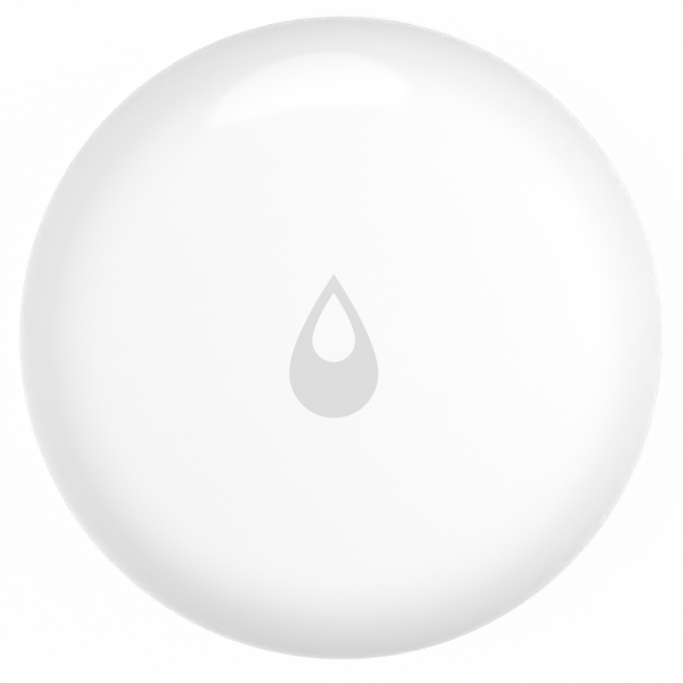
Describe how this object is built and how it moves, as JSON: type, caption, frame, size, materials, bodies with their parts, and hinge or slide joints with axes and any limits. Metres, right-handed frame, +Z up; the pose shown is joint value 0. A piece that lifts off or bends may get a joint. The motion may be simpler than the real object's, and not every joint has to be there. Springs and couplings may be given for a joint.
{
  "type": "water leak sensor",
  "caption": "Round white puck for the floor that senses water between two metal probes underneath; the whole top is a press button with a grey drop mark.",
  "frame": {"origin": "on the floor under the middle of the puck", "axes": "+Z up out of the cap, +Y towards the tip of the drop mark, +X to its right; the probes lie on the X axis"},
  "size_m": [0.05, 0.05, 0.015],
  "materials": {
    "gloss_white": "high gloss moulded white with a very faint orange peel",
    "grey_ink": "flat mid grey, flush with the cap",
    "satin_white": "satin white with a fine spark-eroded grain",
    "inner_white": "plain moulded white",
    "pale_silicone": "soft translucent silicone",
    "clear_plastic": "polished clear rod",
    "black_rubber": "smooth black ring rubber",
    "board_green": "green lacquered board",
    "chip_black": "moulded black",
    "tinned_steel": "bright tinned sheet",
    "copper_trace": "thin plated copper",
    "ceramic_tan": "fired tan ceramic",
    "light_yellow": "pale yellow lens",
    "switch_cream": "cream moulded plastic",
    "zinc_screw": "bright zinc",
    "spring_bronze": "plated spring strip",
    "cell_steel": "finely brushed cell steel",
    "cell_gasket": "dark nylon seal",
    "cell_filling": "pressed black pellet",
    "grey_foam": "fine closed foam",
    "probe_metal": "bright nickel with faint turning rings",
    "insert_brass": "knurled brass"
  },
  "bodies": {
    "housing": {"lower_housing": "satin_white", "inner_cover": "inner_white", "button_membrane": "pale_silicone", "light_guide": "clear_plastic", "housing_seal": "black_rubber", "main_board": "board_green", "radio_chip": "chip_black", "radio_crystal": "tinned_steel", "antenna": "copper_trace", "sense_chip": "chip_black", "chip_capacitors": "ceramic_tan", "chip_resistors": "chip_black", "status_led": "light_yellow", "switch_body": "chip_black", "switch_frame": "tinned_steel", "board_screws": "zinc_screw", "negative_contact": "spring_bronze", "positive_contact": "spring_bronze", "probe_springs": "spring_bronze"},
    "cap": {"top_cap": "gloss_white", "drop_symbol": "grey_ink", "switch_stem": "switch_cream"},
    "battery": {"battery_can": "cell_steel", "battery_gasket": "cell_gasket", "battery_core": "cell_filling", "battery_lid": "cell_steel"},
    "cover": {"battery_cover": "satin_white", "cover_seal": "black_rubber", "battery_pad": "grey_foam", "left_probe": "probe_metal", "right_probe": "probe_metal", "probe_seals": "black_rubber", "probe_inserts": "insert_brass"}
  },
  "joints": [
    {"name": "cap_press", "type": "slide", "parent": "housing", "child": "cap", "axis": [0, 0, -1], "range_m": [0, 0.00025], "stiffness_N_per_m": 4000, "deforming": ["button_membrane"]},
    {"name": "battery_drop", "type": "slide", "parent": "housing", "child": "battery", "axis": [0, 0, -1], "range_m": [0, 0.006]},
    {"name": "cover_turn", "type": "hinge", "parent": "battery", "child": "cover", "pos_m": [0, 0, 0], "axis": [0, 0, -1], "range_deg": [0, 120]}
  ],
  "couplings": [
    {"joint": "cover_turn", "follows": "battery_drop", "rad_per_m": 349.07}
  ]
}
